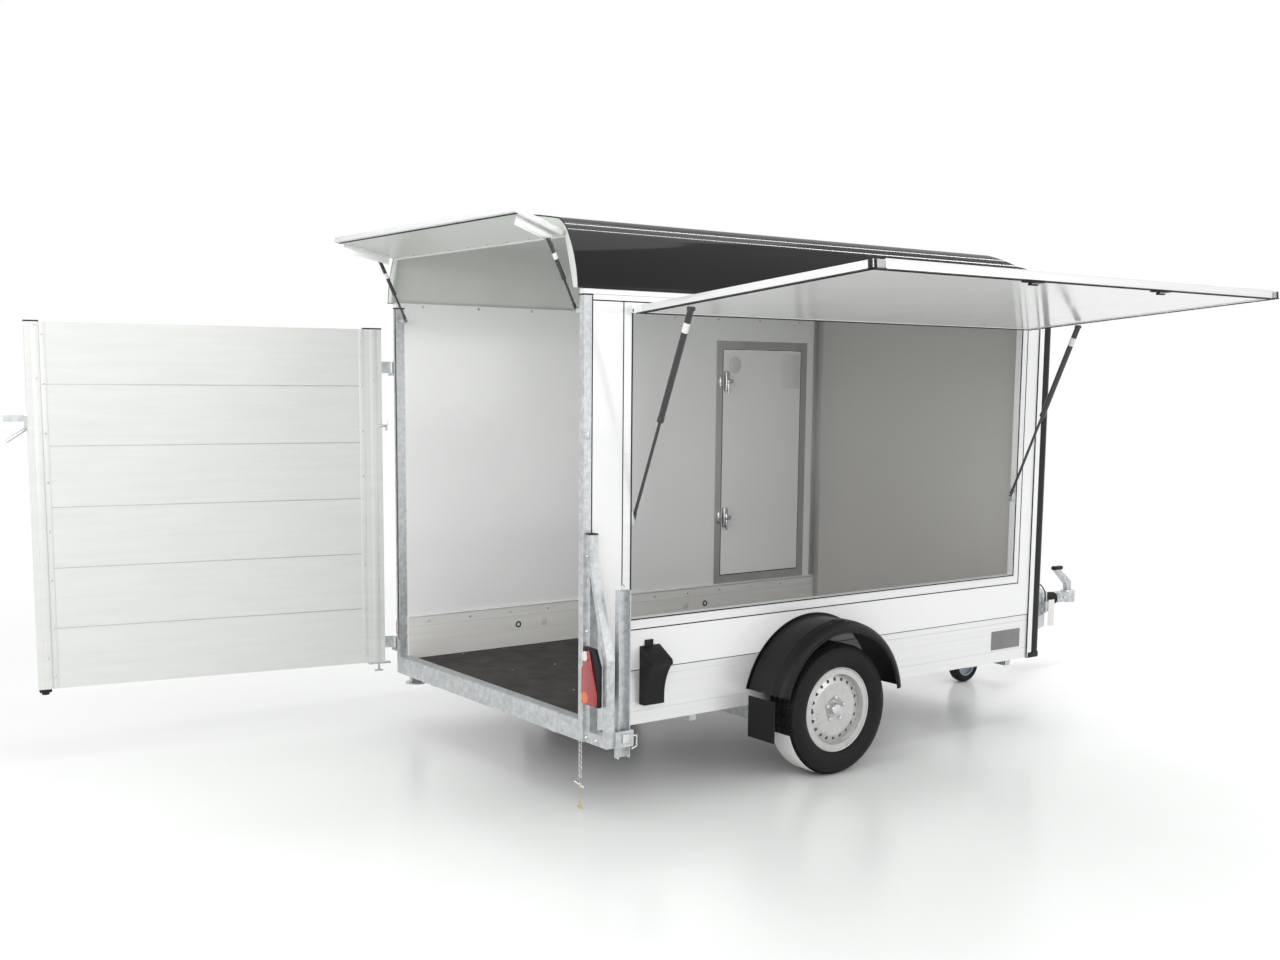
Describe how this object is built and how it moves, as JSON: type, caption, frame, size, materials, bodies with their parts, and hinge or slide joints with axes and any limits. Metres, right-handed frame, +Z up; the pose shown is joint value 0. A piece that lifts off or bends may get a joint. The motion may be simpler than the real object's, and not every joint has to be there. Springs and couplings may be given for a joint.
{
  "type": "enclosed cargo trailer",
  "caption": "Single-axle box trailer with arched roof, open side serving hatch, rear flap and swung-open rear door, standing on its jockey wheel.",
  "frame": {"origin": "centre of the towing ball in the coupling head", "axes": "+X forward to the towing vehicle, +Y to the left, +Z up"},
  "size_m": [6.3287, 3.5913, 2.59],
  "materials": {
    "galvanised_steel": "satin, lightly spangled",
    "anodised_aluminium": "satin",
    "white_laminate": "gloss",
    "grey_liner": "satin",
    "white_profile": "gloss",
    "black_gelcoat": "high gloss",
    "black_plastic": "matt",
    "black_rubber": "matt",
    "phenolic_plywood": "film faced",
    "lamp_lens": "gloss",
    "tyre": "matt",
    "silver_steel": "satin",
    "cast_iron": "rough",
    "jockey_rubber": "matt",
    "black_steel": "satin",
    "dark_cable": "satin",
    "red_cable": "satin"
  },
  "bodies": {
    "root": {"axle_beam": "galvanised_steel", "breakaway_cable": "red_cable", "chassis_frame": "galvanised_steel", "coupling_head": "galvanised_steel", "drawbar_rails": "galvanised_steel", "electric_lead": "dark_cable", "fender_left": "black_plastic", "fender_right": "black_plastic", "floor_board": "phenolic_plywood", "front_corner_posts": "black_plastic", "front_wall": "white_laminate", "hand_levers": "galvanised_steel", "hatch_frame": "anodised_aluminium", "jockey_clamp": "galvanised_steel", "jockey_tube": "galvanised_steel", "kick_boards": "anodised_aluminium", "lamp_carriers": "galvanised_steel", "mudflaps": "black_rubber", "overrun_unit": "galvanised_steel", "rear_beam": "galvanised_steel", "rear_door_lugs": "galvanised_steel", "rear_posts": "anodised_aluminium", "roof": "black_gelcoat", "roof_end_panel": "white_laminate", "roof_liner": "grey_liner", "side_door_frame": "anodised_aluminium", "side_wall_left": "white_laminate", "side_wall_right": "white_laminate", "sill_boards": "anodised_aluminium", "stand_clamps": "galvanised_steel", "tail_lamps": "lamp_lens", "top_rails": "white_profile", "wheel_chocks": "black_plastic"},
    "wheel_left": {"tyre_left": "tyre", "rim_left": "silver_steel", "brake_drum_left": "cast_iron"},
    "wheel_right": {"tyre_right": "tyre", "rim_right": "silver_steel", "brake_drum_right": "cast_iron"},
    "jockey_leg": {"jockey_stem": "galvanised_steel"},
    "jockey_swivel": {"jockey_fork": "galvanised_steel"},
    "jockey_roller": {"jockey_wheel": "jockey_rubber"},
    "rear_door": {"rear_door_boards": "anodised_aluminium", "rear_door_posts": "anodised_aluminium", "rear_door_hinges": "galvanised_steel", "rear_door_latch": "galvanised_steel"},
    "rear_flap": {"rear_flap": "white_laminate"},
    "side_hatch": {"side_hatch": "white_laminate"},
    "side_door": {"side_door": "white_laminate"},
    "stand_left": {"prop_stand_left": "galvanised_steel"},
    "stand_right": {"prop_stand_right": "galvanised_steel"},
    "hatch_cylinder_rear": {"hatch_spring_rear_cylinder": "black_steel"},
    "hatch_rod_rear": {"hatch_spring_rear_rod": "black_steel"},
    "hatch_cylinder_front": {"hatch_spring_front_cylinder": "black_steel"},
    "hatch_rod_front": {"hatch_spring_front_rod": "black_steel"},
    "flap_cylinder_left": {"flap_spring_left_cylinder": "black_steel"},
    "flap_rod_left": {"flap_spring_left_rod": "black_steel"},
    "flap_cylinder_right": {"flap_spring_right_cylinder": "black_steel"},
    "flap_rod_right": {"flap_spring_right_rod": "black_steel"}
  },
  "joints": [
    {"name": "wheel_left_spin", "type": "hinge", "parent": "root", "child": "wheel_left", "pos_m": [-3.16, 0.99, -0.1255], "axis": [0, 1, 0], "continuous": true},
    {"name": "wheel_right_spin", "type": "hinge", "parent": "root", "child": "wheel_right", "pos_m": [-3.16, -0.99, -0.1255], "axis": [0, 1, 0], "continuous": true},
    {"name": "jockey_leg_slide", "type": "slide", "parent": "root", "child": "jockey_leg", "axis": [0, 0, 1], "range_m": [0, 0.12]},
    {"name": "jockey_swivel_turn", "type": "hinge", "parent": "jockey_leg", "child": "jockey_swivel", "pos_m": [-0.96, 0, -0.21], "axis": [0, 0, 1], "continuous": true},
    {"name": "jockey_roller_spin", "type": "hinge", "parent": "jockey_swivel", "child": "jockey_roller", "pos_m": [-1.02, 0, -0.33], "axis": [0, 1, 0], "continuous": true},
    {"name": "rear_door_hinge", "type": "hinge", "parent": "root", "child": "rear_door", "pos_m": [-4.482, 0.908, -0.075], "axis": [0, 0, 1], "range_deg": [-60, 100.3]},
    {"name": "side_hatch_hinge", "type": "hinge", "parent": "root", "child": "side_hatch", "pos_m": [-2.9565, -0.89, 1.71], "axis": [1, 0, 0], "range_deg": [0, 94.6]},
    {"name": "rear_flap_hinge", "type": "hinge", "parent": "root", "child": "rear_flap", "pos_m": [-4.526, 0, 2.008], "axis": [0, -1, 0], "range_deg": [0, 104]},
    {"name": "side_door_hinge", "type": "hinge", "parent": "root", "child": "side_door", "pos_m": [-1.685, 0.88, 0.9165], "axis": [0, 0, -1], "range_deg": [0, 110]},
    {"name": "stand_left_slide", "type": "slide", "parent": "root", "child": "stand_left", "axis": [0, 0, -1], "range_m": [0, 0.18]},
    {"name": "stand_right_slide", "type": "slide", "parent": "root", "child": "stand_right", "axis": [0, 0, -1], "range_m": [0, 0.25]},
    {"name": "hatch_cylinder_rear_pin", "type": "hinge", "parent": "side_hatch", "child": "hatch_cylinder_rear", "pos_m": [-4.218, -1.23646, 1.70577], "axis": [1, 0, 0], "range_deg": [-118.13, 0.5]},
    {"name": "hatch_rod_rear_slide", "type": "slide", "parent": "hatch_cylinder_rear", "child": "hatch_rod_rear", "axis": [0, 0.3963, -0.9181], "range_m": [-0.4206, 0.001]},
    {"name": "hatch_cylinder_front_pin", "type": "hinge", "parent": "side_hatch", "child": "hatch_cylinder_front", "pos_m": [-1.695, -1.23646, 1.70577], "axis": [1, 0, 0], "range_deg": [-118.13, 0.5]},
    {"name": "hatch_rod_front_slide", "type": "slide", "parent": "hatch_cylinder_front", "child": "hatch_rod_front", "axis": [0, 0.3963, -0.9181], "range_m": [-0.4206, 0.001]},
    {"name": "flap_cylinder_left_pin", "type": "hinge", "parent": "rear_flap", "child": "flap_cylinder_left", "pos_m": [-4.60457, 0.775, 1.99049], "axis": [0, -1, 0], "range_deg": [-124.9, 0.5]},
    {"name": "flap_rod_left_slide", "type": "slide", "parent": "flap_cylinder_left", "child": "flap_rod_left", "axis": [0.4378, 0, -0.8991], "range_m": [-0.0859, 0.001]},
    {"name": "flap_cylinder_right_pin", "type": "hinge", "parent": "rear_flap", "child": "flap_cylinder_right", "pos_m": [-4.60457, -0.775, 1.99049], "axis": [0, -1, 0], "range_deg": [-124.9, 0.5]},
    {"name": "flap_rod_right_slide", "type": "slide", "parent": "flap_cylinder_right", "child": "flap_rod_right", "axis": [0.4378, 0, -0.8991], "range_m": [-0.0859, 0.001]}
  ],
  "couplings": [
    {"joint": "hatch_cylinder_rear_pin", "follows": "side_hatch_hinge", "ratio": -1.2434},
    {"joint": "hatch_rod_rear_slide", "follows": "side_hatch_hinge", "m_per_rad": -0.25412},
    {"joint": "hatch_cylinder_front_pin", "follows": "side_hatch_hinge", "ratio": -1.2434},
    {"joint": "hatch_rod_front_slide", "follows": "side_hatch_hinge", "m_per_rad": -0.25412},
    {"joint": "flap_cylinder_left_pin", "follows": "rear_flap_hinge", "ratio": -1.1962},
    {"joint": "flap_rod_left_slide", "follows": "rear_flap_hinge", "m_per_rad": -0.046774},
    {"joint": "flap_cylinder_right_pin", "follows": "rear_flap_hinge", "ratio": -1.1962},
    {"joint": "flap_rod_right_slide", "follows": "rear_flap_hinge", "m_per_rad": -0.046774}
  ]
}
